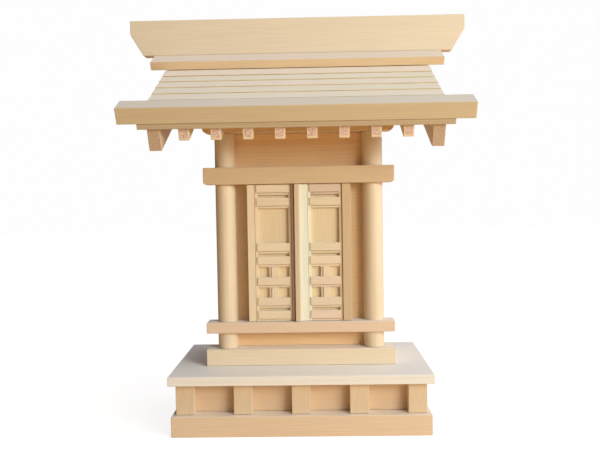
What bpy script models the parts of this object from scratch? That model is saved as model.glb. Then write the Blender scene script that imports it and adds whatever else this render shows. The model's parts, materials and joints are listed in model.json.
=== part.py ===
"""One-door household shrine in plain cypress, built board by board.

Metres, +Z up. X runs along the ridge and Y from front to back. The origin is on the
surface that the shrine stands on, under the middle of the whole. The pieces are laid out
from the ridge, and an empty that carries them all sets the ridge behind the origin,
because the back slope of the roof is short and the front one reaches far out.
"""

import math

import bmesh
import bpy
from mathutils import Matrix, Vector

# Joints and edges
GLUE_GAP = 0.0003
ARRIS = 0.0005

# Base: a ground frame, struts in front of boards, and a top board
BASE_LENGTH = 0.274
BASE_DEPTH = 0.160
BASE_REACH_FRONT = 0.0925
BASE_TOP_THICKNESS = 0.0096
GROUND_INSET_SIDE = 0.002
GROUND_INSET_FRONT = 0.0035
GROUND_HEIGHT = 0.0216
GROUND_BAR_DEPTH = 0.024
STRUT_HEIGHT = 0.0322
STRUT_WIDTH = 0.0196
STRUT_DEPTH = 0.012
STRUT_COUNT = 5
STRUT_END_INSET = 0.0044
STRUT_SETBACK = 0.006
BASE_BOARD_THICKNESS = 0.005
BASE_SIDE_SETBACK = 0.002

# Body: sill bars, round posts, walls, floor and front rails. The bars, rails and beams
# reach past the axes of the corner posts.
SILL_END_REACH = 0.0227
SILL_HEIGHT = 0.0177
SILL_BAR_DEPTH = 0.026
POST_DIAMETER = 0.022
POST_SIDES = 40
POST_HEIGHT = 0.2345
POST_SPACING_X = 0.1606
POST_SPACING_Y = 0.067
WALL_THICKNESS = 0.0045
WALL_SETBACK = 0.007
FLOOR_THICKNESS = 0.006
DOORWAY_MARGIN = 0.006
RAIL_PROUD = 0.005
LOWER_RAIL_END_REACH = 0.0217
LOWER_RAIL_HEIGHT = 0.0116
LOWER_RAIL_RISE = 0.0183
UPPER_RAIL_END_REACH = 0.0222
UPPER_RAIL_HEIGHT = 0.0184
RAIL_END_ROUND = 0.0035
BEAM_END_REACH = 0.0232
BEAM_DEPTH = 0.020
BEAM_FRONT_HEIGHT = 0.0218
BEAM_END_ROUND = 0.005
END_SEGMENTS = 3

# Doors: two leaves between the rails
DOOR_HEIGHT = 0.1484
DOOR_END_GAP = 0.0005
MEETING_GAP = 0.001
LEFT_LEAF_WIDTH = 0.0500
RIGHT_LEAF_WIDTH = 0.0608
LEAF_SETBACK = 0.004
FRAME_THICKNESS = 0.005
LEAF_BOARD_THICKNESS = 0.0027
LIP_DROP = 0.0015
LIP_WIDTH = 0.0036
CHANNEL_WIDTH = 0.0026
LEFT_OUTER_STILE = 0.0074
LEFT_INNER_STILE = 0.0022
RIGHT_OUTER_STILE = 0.0092
RIGHT_INNER_STILE = 0.0138
CROSS_RAIL_FACE = 0.0087
CROSS_RAIL_LIP = 0.0026
SLOT_HEIGHT = 0.0031
LATTICE_HEIGHT = 0.0111
MUNTIN_WIDTH = 0.0073
MUNTIN_LIP = 0.0026
STRIP_WIDTH = 0.0057
STRIP_THICKNESS = 0.0037
PIVOT_INSET = 0.004
PIVOT_DIAMETER = 0.003
PIVOT_LENGTH = 0.004
PIVOT_CLEARANCE = 0.0004
PIVOT_SIDES = 16

# Roof
ROOF_PITCH = 0.5
RAFTER_WIDTH = 0.0103
RAFTER_DEPTH = 0.0132
RAFTER_SPACING = 0.0313
RAFTER_COUNT = 8
RAFTER_SETBACK = 0.004
END_RAFTER_WIDTH = 0.0124
END_RAFTER_DEPTH = 0.0237
END_RAFTER_INSET = 0.0085
DECK_LENGTH = 0.3072
DECK_THICKNESS = 0.0058
FRONT_SLOPE_LENGTH = 0.1385
BACK_SLOPE_LENGTH = 0.059
FASCIA_LENGTH = 0.3446
BACK_FASCIA_LENGTH = 0.3256
FASCIA_HEIGHT = 0.0167
FASCIA_DEPTH = 0.0218
FASCIA_OVERHANG = 0.0011
SHINGLE_LENGTH = 0.2894
SHINGLE_COURSES = 5
SHINGLE_STEP = 0.0016
RIDGE_BOARD_LENGTH = 0.3214
RIDGE_BOARD_THICKNESS = 0.0092
RIDGE_BOARD_REACH = 0.0184
CAP_THICKNESS = 0.013
CAP_HEIGHT = 0.0394
CAP_FOOT_LENGTH = 0.3466
CAP_TOP_LENGTH = 0.3756
CAP_RAKE_HEIGHT = 0.0241
CAP_SEAT_MARGIN = 0.0013

# Wood tones
HEARTWOOD = (0.70, 0.47, 0.27)
SAPWOOD = (0.80, 0.62, 0.41)
ROOFWOOD = (0.78, 0.60, 0.43)

# Heights that stack up from the ground
GROUND_TOP = GROUND_HEIGHT
STRUT_FOOT = GROUND_TOP + GLUE_GAP
STRUT_TOP = STRUT_FOOT + STRUT_HEIGHT
BASE_TOP_LOW = STRUT_TOP + GLUE_GAP
BASE_TOP_HIGH = BASE_TOP_LOW + BASE_TOP_THICKNESS
SILL_LOW = BASE_TOP_HIGH + GLUE_GAP
SILL_TOP = SILL_LOW + SILL_HEIGHT
POST_FOOT = SILL_TOP + GLUE_GAP
POST_TOP = POST_FOOT + POST_HEIGHT
LOWER_RAIL_LOW = SILL_TOP + LOWER_RAIL_RISE
LOWER_RAIL_TOP = LOWER_RAIL_LOW + LOWER_RAIL_HEIGHT
LEAF_LOW = LOWER_RAIL_TOP + DOOR_END_GAP
LEAF_TOP = LEAF_LOW + DOOR_HEIGHT
UPPER_RAIL_LOW = LEAF_TOP + DOOR_END_GAP
UPPER_RAIL_TOP = UPPER_RAIL_LOW + UPPER_RAIL_HEIGHT
BEAM_LOW = POST_TOP + GLUE_GAP

# Places in plan
STRUT_ROW = BASE_LENGTH - 2 * GROUND_INSET_SIDE - 2 * STRUT_END_INSET - STRUT_WIDTH
STRUT_SPACING = STRUT_ROW / (STRUT_COUNT - 1)
POST_RADIUS = POST_DIAMETER / 2
POST_X = POST_SPACING_X / 2
POST_Y = POST_SPACING_Y / 2
RAIL_FRONT = -POST_Y - POST_RADIUS - RAIL_PROUD
WALL_FACE = POST_Y - WALL_SETBACK
RAIL_BACK = -WALL_FACE - GLUE_GAP
LEAF_FRONT = RAIL_FRONT + LEAF_SETBACK
FRAME_BACK = LEAF_FRONT + FRAME_THICKNESS
LEAF_BACK = FRAME_BACK + GLUE_GAP + LEAF_BOARD_THICKNESS
PIVOT_Y = LEAF_FRONT + FRAME_THICKNESS / 2
PAIR_WIDTH = LEFT_LEAF_WIDTH + MEETING_GAP + RIGHT_LEAF_WIDTH
PAIR_LEFT = -PAIR_WIDTH / 2
PAIR_RIGHT = PAIR_WIDTH / 2

# The slope: u runs down it from the ridge line, w stands square to it from the deck's underside
SLOPE = math.atan(ROOF_PITCH)
COS = math.cos(SLOPE)
SIN = math.sin(SLOPE)
RAFTER_UNDERSIDE = -GLUE_GAP - RAFTER_DEPTH
BEAM_FRONT = POST_Y + BEAM_DEPTH / 2
BEAM_FRONT_TOP = BEAM_LOW + BEAM_FRONT_HEIGHT
RIDGE_HEIGHT = BEAM_FRONT_TOP + BEAM_FRONT * ROOF_PITCH + (GLUE_GAP - RAFTER_UNDERSIDE) / COS
FASCIA_LOW = DECK_THICKNESS + GLUE_GAP
FASCIA_TOP = FASCIA_LOW + FASCIA_HEIGHT
RIDGE_BOARD_LOW = FASCIA_TOP + GLUE_GAP
RIDGE_BOARD_TOP = RIDGE_BOARD_LOW + RIDGE_BOARD_THICKNESS
SLOPES = (("front", -1, FRONT_SLOPE_LENGTH), ("back", 1, BACK_SLOPE_LENGTH))
ROOF_REACH = (FRONT_SLOPE_LENGTH + FASCIA_OVERHANG) * COS + (FASCIA_TOP - ARRIS) * SIN
RIDGE_PLACE = (0.0, (ROOF_REACH + BASE_REACH_FRONT - BASE_DEPTH) / 2, 0.0)
CAP_SEAT_HALF = CAP_THICKNESS / 2 + CAP_SEAT_MARGIN
CAP_SEAT = RIDGE_HEIGHT + RIDGE_BOARD_TOP / COS - CAP_SEAT_HALF * ROOF_PITCH


def clear_scene():
    for old in list(bpy.data.objects):
        bpy.data.objects.remove(old, do_unlink=True)


def wood(name, tone):
    material = bpy.data.materials.new(name)
    material.use_nodes = True
    shader = material.node_tree.nodes["Principled BSDF"]
    shader.inputs["Base Color"].default_value = (*tone, 1.0)
    shader.inputs["Roughness"].default_value = 0.6
    shader.inputs["Metallic"].default_value = 0.0
    return material


def add_empty(name, place, parent=None):
    empty = bpy.data.objects.new(name, None)
    bpy.context.scene.collection.objects.link(empty)
    empty.location = place
    empty.parent = parent
    return empty


def hang(piece, carrier, place):
    """Put a piece at its place from the ridge, on an empty that stands elsewhere."""
    piece.parent = carrier
    piece.location = place
    if carrier.parent is not None:
        piece.location = Vector(place) - carrier.location


def add_object(name, shape, tone, carrier=None):
    """Turn a finished bmesh into a named object with its own material and its origin in its middle."""
    bmesh.ops.recalc_face_normals(shape, faces=shape.faces)
    corners = [vertex.co for vertex in shape.verts]
    low = Vector([min(corner[axis] for corner in corners) for axis in range(3)])
    high = Vector([max(corner[axis] for corner in corners) for axis in range(3)])
    middle = (low + high) / 2
    bmesh.ops.translate(shape, vec=-middle, verts=shape.verts)
    mesh = bpy.data.meshes.new(name)
    shape.to_mesh(mesh)
    shape.free()
    piece = bpy.data.objects.new(name, mesh)
    bpy.context.scene.collection.objects.link(piece)
    hang(piece, carrier or bpy.data.objects["shrine"], middle)
    mesh.materials.append(wood(name, tone))
    return piece


def ease_edges(shape, edges, width, segments=1):
    bmesh.ops.bevel(
        shape,
        geom=edges,
        offset=width,
        offset_type="OFFSET",
        segments=segments,
        profile=0.5,
        affect="EDGES",
        clamp_overlap=True,
    )


def sharp_edges(shape):
    return [edge for edge in shape.edges if edge.calc_face_angle(0.0) > math.radians(25)]


def lower_end_edges(shape, height):
    """The edges of a long board that run across its ends, below a height."""
    return [
        edge
        for edge in shape.edges
        if all(v.co.z < height for v in edge.verts)
        and abs(edge.verts[0].co.x - edge.verts[1].co.x) < ARRIS
        and abs(edge.verts[0].co.y - edge.verts[1].co.y) > ARRIS
    ]


def box_shape(low, high):
    """A box between two opposite corners."""
    low = Vector(low)
    high = Vector(high)
    shape = bmesh.new()
    bmesh.ops.create_cube(shape, size=1.0)
    size = high - low
    bmesh.ops.scale(shape, vec=size, verts=shape.verts)
    bmesh.ops.translate(shape, vec=(low + high) / 2, verts=shape.verts)
    return shape


def board(name, low, high, tone, carrier=None):
    """A plain board with eased edges."""
    shape = box_shape(low, high)
    ease_edges(shape, sharp_edges(shape), ARRIS)
    return add_object(name, shape, tone, carrier)


def prism_shape(outline, start, end, axis):
    """Sweep an outline along X or Y; it gives (y, z) for X and (x, z) for Y."""
    shape = bmesh.new()
    rings = []
    for place in (start, end):
        if axis == "X":
            ring = [shape.verts.new((place, a, b)) for a, b in outline]
        else:
            ring = [shape.verts.new((a, place, b)) for a, b in outline]
        rings.append(ring)
    shape.faces.new(rings[0])
    shape.faces.new(list(reversed(rings[1])))
    count = len(outline)
    for i in range(count):
        j = (i + 1) % count
        shape.faces.new((rings[0][j], rings[0][i], rings[1][i], rings[1][j]))
    bmesh.ops.recalc_face_normals(shape, faces=shape.faces)
    return shape


def add_cylinder(shape, x, y, low, high, radius, sides):
    """Add an upright cylinder to a shape."""
    bmesh.ops.create_cone(
        shape,
        cap_ends=True,
        segments=sides,
        radius1=radius,
        radius2=radius,
        depth=high - low,
        matrix=Matrix.Translation((x, y, (low + high) / 2)),
    )


def cutter(name, shape, carrier=None):
    """A hidden tool body for a Boolean, laid out from the ridge."""
    bmesh.ops.recalc_face_normals(shape, faces=shape.faces)
    mesh = bpy.data.meshes.new(name)
    shape.to_mesh(mesh)
    shape.free()
    tool = bpy.data.objects.new(name, mesh)
    bpy.context.scene.collection.objects.link(tool)
    hang(tool, carrier or bpy.data.objects["shrine"], (0.0, 0.0, 0.0))
    tool.hide_render = True
    tool.display_type = "WIRE"
    return tool


def combine(piece, tool, operation):
    change = piece.modifiers.new(tool.name, "BOOLEAN")
    change.operation = operation
    change.solver = "EXACT"
    change.object = tool


def block_shape(xs, ys, zs, filled):
    """The skin of the filled cells of a grid, where filled(i, j, k) tells which are solid."""
    shape = bmesh.new()
    corners = {}

    def corner(i, j, k):
        if (i, j, k) not in corners:
            corners[(i, j, k)] = shape.verts.new((xs[i], ys[j], zs[k]))
        return corners[(i, j, k)]

    def solid(cell):
        inside = all(0 <= cell[a] < len((xs, ys, zs)[a]) - 1 for a in range(3))
        return inside and filled(*cell)

    for i in range(len(xs) - 1):
        for j in range(len(ys) - 1):
            for k in range(len(zs) - 1):
                if not solid((i, j, k)):
                    continue
                for axis in range(3):
                    for side in (0, 1):
                        beyond = [i, j, k]
                        beyond[axis] += 2 * side - 1
                        if solid(tuple(beyond)):
                            continue
                        first = (axis + 1) % 3
                        second = (axis + 2) % 3
                        face = []
                        for a, b in ((0, 0), (1, 0), (1, 1), (0, 1)):
                            place = [i, j, k]
                            place[axis] += side
                            place[first] += a
                            place[second] += b
                            face.append(corner(*place))
                        shape.faces.new(face)
    bmesh.ops.recalc_face_normals(shape, faces=shape.faces)
    bmesh.ops.dissolve_limit(
        shape,
        angle_limit=math.radians(1),
        use_dissolve_boundaries=False,
        verts=shape.verts,
        edges=shape.edges,
    )
    return shape


def slope_point(side, u, w):
    """A point of the front (side -1) or back (side 1) slope as (y, z)."""
    return (side * (u * COS + w * SIN), RIDGE_HEIGHT - u * SIN + w * COS)


def ridge_cut(w):
    """Where a slope board at height w stops short of the vertical plane of the ridge."""
    return (GLUE_GAP / 2 - w * SIN) / COS


def slope_outline(side, low, high, end, start=None):
    """Section of a slope board, square at the eave and plumb at the ridge unless start is set."""
    low_start = ridge_cut(low) if start is None else start
    high_start = ridge_cut(high) if start is None else start
    corners = [(low_start, low), (end, low), (end, high), (high_start, high)]
    return [slope_point(side, u, w) for u, w in corners]


def slope_board(name, x_low, x_high, outline, tone):
    shape = prism_shape(outline, x_low, x_high, "X")
    ease_edges(shape, sharp_edges(shape), ARRIS)
    return add_object(name, shape, tone)


def rafter_centres():
    middle = (RAFTER_COUNT - 1) / 2
    return [(i - middle) * RAFTER_SPACING for i in range(RAFTER_COUNT)]


def make_ground_frame():
    half = BASE_LENGTH / 2 - GROUND_INSET_SIDE
    front = -BASE_REACH_FRONT + GROUND_INSET_FRONT
    back = -BASE_REACH_FRONT + BASE_DEPTH - GROUND_INSET_FRONT
    board("ground_bar_front", (-half, front, 0), (half, front + GROUND_BAR_DEPTH, GROUND_TOP), SAPWOOD)
    board("ground_bar_back", (-half, back - GROUND_BAR_DEPTH, 0), (half, back, GROUND_TOP), SAPWOOD)
    low_y = front + GROUND_BAR_DEPTH + GLUE_GAP
    high_y = back - GROUND_BAR_DEPTH - GLUE_GAP
    inner = half - GROUND_BAR_DEPTH
    board("ground_bar_left", (-half, low_y, 0), (-inner, high_y, GROUND_TOP), SAPWOOD)
    board("ground_bar_right", (inner, low_y, 0), (half, high_y, GROUND_TOP), SAPWOOD)


def make_base_box():
    front = -BASE_REACH_FRONT + GROUND_INSET_FRONT + STRUT_SETBACK
    back = -BASE_REACH_FRONT + BASE_DEPTH - GROUND_INSET_FRONT - STRUT_SETBACK
    middle = (STRUT_COUNT - 1) / 2
    for i in range(STRUT_COUNT):
        x = (i - middle) * STRUT_SPACING
        low = (x - STRUT_WIDTH / 2, front, STRUT_FOOT)
        high = (x + STRUT_WIDTH / 2, front + STRUT_DEPTH, STRUT_TOP)
        board("base_strut_front_%d" % (i + 1), low, high, SAPWOOD)
    corner_x = middle * STRUT_SPACING
    for label, x in (("left", -corner_x), ("right", corner_x)):
        low = (x - STRUT_WIDTH / 2, back - STRUT_DEPTH, STRUT_FOOT)
        high = (x + STRUT_WIDTH / 2, back, STRUT_TOP)
        board("base_strut_back_" + label, low, high, SAPWOOD)
    half = corner_x + STRUT_WIDTH / 2 - BASE_SIDE_SETBACK
    front_face = front + STRUT_DEPTH + GLUE_GAP
    back_face = back - STRUT_DEPTH - GLUE_GAP
    front_inner = front_face + BASE_BOARD_THICKNESS
    back_inner = back_face - BASE_BOARD_THICKNESS
    board("base_board_front", (-half, front_face, STRUT_FOOT), (half, front_inner, STRUT_TOP), HEARTWOOD)
    board("base_board_back", (-half, back_inner, STRUT_FOOT), (half, back_face, STRUT_TOP), HEARTWOOD)
    low_y = front_inner + GLUE_GAP
    high_y = back_inner - GLUE_GAP
    inner = half - BASE_BOARD_THICKNESS
    board("base_board_left", (-half, low_y, STRUT_FOOT), (-inner, high_y, STRUT_TOP), HEARTWOOD)
    board("base_board_right", (inner, low_y, STRUT_FOOT), (half, high_y, STRUT_TOP), HEARTWOOD)
    low = (-BASE_LENGTH / 2, -BASE_REACH_FRONT, BASE_TOP_LOW)
    high = (BASE_LENGTH / 2, -BASE_REACH_FRONT + BASE_DEPTH, BASE_TOP_HIGH)
    board("base_top_board", low, high, SAPWOOD)


def make_sill():
    half = POST_X + SILL_END_REACH
    near = POST_Y - SILL_BAR_DEPTH / 2
    far = POST_Y + SILL_BAR_DEPTH / 2
    board("sill_bar_front", (-half, -far, SILL_LOW), (half, -near, SILL_TOP), SAPWOOD)
    inner = POST_X - SILL_BAR_DEPTH / 2
    outer = POST_X + SILL_BAR_DEPTH / 2
    board("sill_bar_back", (-outer, near, SILL_LOW), (outer, far, SILL_TOP), SAPWOOD)
    side_y = near - GLUE_GAP
    board("sill_bar_left", (-outer, -side_y, SILL_LOW), (-inner, side_y, SILL_TOP), SAPWOOD)
    board("sill_bar_right", (inner, -side_y, SILL_LOW), (outer, side_y, SILL_TOP), SAPWOOD)


def make_posts():
    for row, y in (("front", -POST_Y), ("back", POST_Y)):
        for label, x in (("left", -POST_X), ("right", POST_X)):
            shape = bmesh.new()
            add_cylinder(shape, x, y, POST_FOOT, POST_TOP, POST_RADIUS, POST_SIDES)
            ease_edges(shape, sharp_edges(shape), ARRIS)
            post = add_object("post_%s_%s" % (row, label), shape, SAPWOOD)
            post.data.shade_smooth()
            post.data.set_sharp_from_angle(angle=math.radians(30))


def make_walls():
    """Front and back walls stand between the posts, and the side walls rise to the rafters."""
    chord = math.sqrt(max(POST_RADIUS ** 2 - WALL_SETBACK ** 2, 0.0))
    reach = POST_X - chord - GLUE_GAP
    foot = POST_FOOT
    inner_face = WALL_FACE - WALL_THICKNESS
    left = PAIR_LEFT + DOORWAY_MARGIN
    right = PAIR_RIGHT - DOORWAY_MARGIN
    xs = [-reach, left, right, reach]
    zs = [foot, LEAF_LOW, LEAF_TOP - DOORWAY_MARGIN, POST_TOP]
    shape = block_shape(xs, [-WALL_FACE, -inner_face], zs, lambda i, j, k: (i, k) != (1, 1))
    add_object("wall_front", shape, HEARTWOOD)
    board("wall_back", (-reach, inner_face, foot), (reach, WALL_FACE, POST_TOP), HEARTWOOD)
    near = POST_Y - max(POST_RADIUS, BEAM_DEPTH / 2) - GLUE_GAP
    top = RIDGE_HEIGHT + (RAFTER_UNDERSIDE - GLUE_GAP) / COS
    outline = [
        (-near, foot),
        (near, foot),
        (near, top - near * ROOF_PITCH),
        (0.0, top),
        (-near, top - near * ROOF_PITCH),
    ]
    for label, x in (("left", -POST_X), ("right", POST_X)):
        shape = prism_shape(outline, x - WALL_THICKNESS / 2, x + WALL_THICKNESS / 2, "X")
        add_object("wall_" + label, shape, HEARTWOOD)
    floor_x = POST_X - WALL_THICKNESS / 2 - GLUE_GAP
    floor_y = min(inner_face - GLUE_GAP, near)
    floor_z = foot + FLOOR_THICKNESS
    board("floor_board", (-floor_x, -floor_y, foot), (floor_x, floor_y, floor_z), SAPWOOD)


def make_rails():
    """The rails lap round the posts from in front and carry the door pivots."""
    pivots = (PAIR_LEFT + PIVOT_INSET, PAIR_RIGHT - PIVOT_INSET)
    hole_radius = PIVOT_DIAMETER / 2 + PIVOT_CLEARANCE
    rows = (
        ("rail_lower", LOWER_RAIL_END_REACH, LOWER_RAIL_LOW, LOWER_RAIL_TOP, LOWER_RAIL_TOP, 0.0),
        ("rail_upper", UPPER_RAIL_END_REACH, UPPER_RAIL_LOW, UPPER_RAIL_TOP, UPPER_RAIL_LOW, RAIL_END_ROUND),
    )
    for name, end_reach, low, high, door_side, end_round in rows:
        half = POST_X + end_reach
        shape = box_shape((-half, RAIL_FRONT, low), (half, RAIL_BACK, high))
        if end_round > 0:
            ease_edges(shape, lower_end_edges(shape, (low + high) / 2), end_round, END_SEGMENTS)
        ease_edges(shape, sharp_edges(shape), ARRIS)
        rail = add_object(name, shape, SAPWOOD)
        tools = bmesh.new()
        for x in (-POST_X, POST_X):
            add_cylinder(tools, x, -POST_Y, low - ARRIS, high + ARRIS, POST_RADIUS + GLUE_GAP, POST_SIDES)
        combine(rail, cutter(name + "_laps", tools), "DIFFERENCE")
        holes = bmesh.new()
        for x in pivots:
            reach = PIVOT_LENGTH + PIVOT_CLEARANCE
            add_cylinder(holes, x, PIVOT_Y, door_side - reach, door_side + reach, hole_radius, PIVOT_SIDES)
        combine(rail, cutter(name + "_pivot_holes", holes), "DIFFERENCE")


def make_beams():
    """Head beams lie on the posts, planed on top to the slope of the rafters.

    The front one reaches well past them; the back one only keeps its rounding clear of them.
    """
    top = RIDGE_HEIGHT + (RAFTER_UNDERSIDE - GLUE_GAP) / COS
    near = POST_Y - BEAM_DEPTH / 2
    far = POST_Y + BEAM_DEPTH / 2
    back_reach = POST_DIAMETER / 2 + BEAM_END_ROUND
    for label, side, reach in (("front", -1, BEAM_END_REACH), ("back", 1, back_reach)):
        outline = [
            (side * near, BEAM_LOW),
            (side * far, BEAM_LOW),
            (side * far, top - far * ROOF_PITCH),
            (side * near, top - near * ROOF_PITCH),
        ]
        half = POST_X + reach
        shape = prism_shape(outline, -half, half, "X")
        ease_edges(shape, lower_end_edges(shape, BEAM_LOW + ARRIS), BEAM_END_ROUND, END_SEGMENTS)
        ease_edges(shape, sharp_edges(shape), ARRIS)
        add_object("beam_" + label, shape, HEARTWOOD)


def make_rafters():
    """Eight small rafters and two deep end rafters carry each slope's deck."""
    small = slope_outline(-1, RAFTER_UNDERSIDE, -GLUE_GAP, FRONT_SLOPE_LENGTH - RAFTER_SETBACK)
    for i, x in enumerate(rafter_centres()):
        name = "rafter_front_%d" % (i + 1)
        slope_board(name, x - RAFTER_WIDTH / 2, x + RAFTER_WIDTH / 2, small, SAPWOOD)
    end_x = DECK_LENGTH / 2 - END_RAFTER_INSET - END_RAFTER_WIDTH / 2
    for row, side, length in SLOPES:
        deep = slope_outline(side, -GLUE_GAP - END_RAFTER_DEPTH, -GLUE_GAP, length - RAFTER_SETBACK)
        for label, x in (("left", -end_x), ("right", end_x)):
            low = x - END_RAFTER_WIDTH / 2
            high = x + END_RAFTER_WIDTH / 2
            slope_board("end_rafter_%s_%s" % (row, label), low, high, deep, SAPWOOD)


def make_decks():
    """The back deck is one solid with its own small rafters, which are glued under it."""
    half = DECK_LENGTH / 2
    front = slope_outline(-1, 0.0, DECK_THICKNESS, FRONT_SLOPE_LENGTH)
    slope_board("roof_deck_front", -half, half, front, ROOFWOOD)
    back = slope_outline(1, 0.0, DECK_THICKNESS, BACK_SLOPE_LENGTH)
    deck = slope_board("roof_deck_back", -half, half, back, ROOFWOOD)
    overlap = DECK_THICKNESS / 2
    section = slope_outline(1, RAFTER_UNDERSIDE, overlap, BACK_SLOPE_LENGTH - RAFTER_SETBACK)
    tools = bmesh.new()
    for x in rafter_centres():
        single = prism_shape(section, x - RAFTER_WIDTH / 2, x + RAFTER_WIDTH / 2, "X")
        moved = bpy.data.meshes.new("rafter_back")
        single.to_mesh(moved)
        single.free()
        tools.from_mesh(moved)
    combine(deck, cutter("rafters_back", tools), "UNION")


def make_fascias():
    for label, side, length in SLOPES:
        end = length + FASCIA_OVERHANG
        outline = slope_outline(side, FASCIA_LOW, FASCIA_TOP, end, end - FASCIA_DEPTH)
        half = (FASCIA_LENGTH if label == "front" else BACK_FASCIA_LENGTH) / 2
        slope_board("eave_board_" + label, -half, half, outline, ROOFWOOD)


def make_shingles():
    """Each course is thick at its butt and runs in under the next one up.

    The highest course lies flat, to bed the ridge board.
    """
    start = RIDGE_BOARD_REACH - GLUE_GAP
    under_eave = FASCIA_OVERHANG - FASCIA_DEPTH - GLUE_GAP
    front_course = (FRONT_SLOPE_LENGTH + under_eave - start) / SHINGLE_COURSES
    for label, side, length in SLOPES:
        end = length + under_eave
        count = max(1, round((end - start) / front_course))
        course = (end - start) / count
        corners = [(ridge_cut(FASCIA_LOW), FASCIA_LOW), (end, FASCIA_LOW)]
        for i in range(count):
            butt = end - i * course
            corners.append((butt, FASCIA_TOP))
            if i < count - 1:
                corners.append((butt - course, FASCIA_TOP - SHINGLE_STEP))
        corners.append((ridge_cut(FASCIA_TOP), FASCIA_TOP))
        outline = [slope_point(side, u, w) for u, w in corners]
        shape = prism_shape(outline, -SHINGLE_LENGTH / 2, SHINGLE_LENGTH / 2, "X")
        add_object("shingles_" + label, shape, ROOFWOOD)


def make_ridge():
    """Two ridge boards are planed flat where they meet, to seat the cap.

    The back one is only as long as the shingles that it lies on.
    """
    for label, side, length in (("front", -1, RIDGE_BOARD_LENGTH), ("back", 1, SHINGLE_LENGTH)):
        low_end = slope_point(side, RIDGE_BOARD_REACH, RIDGE_BOARD_LOW)
        high_end = slope_point(side, RIDGE_BOARD_REACH, RIDGE_BOARD_TOP)
        outline = [
            slope_point(side, ridge_cut(RIDGE_BOARD_LOW), RIDGE_BOARD_LOW),
            low_end,
            high_end,
            (side * CAP_SEAT_HALF, CAP_SEAT),
            (side * GLUE_GAP / 2, CAP_SEAT),
        ]
        slope_board("ridge_board_" + label, -length / 2, length / 2, outline, ROOFWOOD)
    low = CAP_SEAT + GLUE_GAP
    foot = CAP_FOOT_LENGTH / 2
    tip = CAP_TOP_LENGTH / 2
    outline = [
        (-foot, low),
        (foot, low),
        (tip, low + CAP_RAKE_HEIGHT),
        (tip, low + CAP_HEIGHT),
        (-tip, low + CAP_HEIGHT),
        (-tip, low + CAP_RAKE_HEIGHT),
    ]
    shape = prism_shape(outline, -CAP_THICKNESS / 2, CAP_THICKNESS / 2, "Y")
    ease_edges(shape, sharp_edges(shape), ARRIS)
    add_object("ridge_cap", shape, ROOFWOOD)


def leaf_rows():
    """Heights of the cross rails' faces and of the openings under them, from the top down.

    Each entry is (face top, face bottom, opening top, opening bottom, kind of opening).
    """
    kinds = ["slot", "panel", "slot", "lattice", "lattice", "slot", "none"]
    rail = CROSS_RAIL_FACE + CROSS_RAIL_LIP
    fixed = {"slot": SLOT_HEIGHT, "lattice": LATTICE_HEIGHT, "none": 0.0}
    used = len(kinds) * rail + sum(fixed[kind] for kind in kinds if kind != "panel")
    fixed["panel"] = DOOR_HEIGHT - used
    rows = []
    top = LEAF_TOP
    for kind in kinds:
        face_low = top - CROSS_RAIL_FACE
        lip_low = top - rail
        bottom = lip_low - fixed[kind]
        rows.append((top, face_low, lip_low, bottom, kind))
        top = bottom
    return rows


def leaf_frame_shape(left, right, left_stile, right_stile):
    """Stiles, cross rails and short uprights in one piece, with a stepped front."""
    face_left = left + left_stile
    face_right = right - right_stile
    middle = (face_left + face_right) / 2
    bar_left = middle - (MUNTIN_WIDTH - MUNTIN_LIP) / 2
    bar_right = bar_left + MUNTIN_WIDTH
    xs = [
        left,
        face_left,
        face_left + CHANNEL_WIDTH,
        face_left + LIP_WIDTH,
        bar_left - MUNTIN_LIP,
        bar_left,
        bar_right,
        face_right - LIP_WIDTH,
        face_right - CHANNEL_WIDTH,
        face_right,
        right,
    ]
    rows = leaf_rows()
    bands = []
    for top, face_low, lip_low, bottom, kind in rows:
        bands.append((face_low, top, "face", kind))
        bands.append((lip_low, face_low, "lip", kind))
        if kind != "none":
            bands.append((bottom, lip_low, "open", kind))
    bands.reverse()
    zs = [bands[0][0]] + [band[1] for band in bands]
    ys = [LEAF_FRONT, LEAF_FRONT + LIP_DROP, FRAME_BACK]
    last = len(xs) - 2
    stile_cells = (0, last)
    lip_cells = (0, 1, 2, last - 2, last - 1, last)
    rail_cells = range(2, last - 1)
    bar_face = xs.index(bar_left)
    bar_cells = (bar_face - 1, bar_face)

    def filled(i, j, k):
        part, kind = bands[k][2], bands[k][3]
        if j == 0:
            if i in stile_cells:
                return True
            if part == "face":
                return i in rail_cells
            return part == "open" and kind == "lattice" and i == bar_face
        if part != "open" or i in lip_cells:
            return True
        return kind == "lattice" and i in bar_cells

    return block_shape(xs, ys, zs, filled)


def make_leaf(label, left, right, left_stile, right_stile, pivot_x):
    """A lattice frame on a backing board, turning about two pivot pins."""
    axis_place = (pivot_x, PIVOT_Y, (LEAF_LOW + LEAF_TOP) / 2)
    hinge = add_empty("door_%s_hinge" % label, axis_place, bpy.data.objects["shrine"])
    shape = leaf_frame_shape(left, right, left_stile, right_stile)
    frame = add_object("door_%s_frame" % label, shape, SAPWOOD, hinge)
    pins = bmesh.new()
    grip = CROSS_RAIL_FACE
    reach = DOOR_END_GAP + PIVOT_LENGTH - PIVOT_CLEARANCE
    radius = PIVOT_DIAMETER / 2
    add_cylinder(pins, pivot_x, PIVOT_Y, LEAF_TOP - grip, LEAF_TOP + reach, radius, PIVOT_SIDES)
    add_cylinder(pins, pivot_x, PIVOT_Y, LEAF_LOW - reach, LEAF_LOW + grip, radius, PIVOT_SIDES)
    combine(frame, cutter("door_%s_pivots" % label, pins, hinge), "UNION")
    low = (left, FRAME_BACK + GLUE_GAP, LEAF_LOW)
    board("door_%s_board" % label, low, (right, LEAF_BACK, LEAF_TOP), SAPWOOD, hinge)
    return hinge


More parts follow.
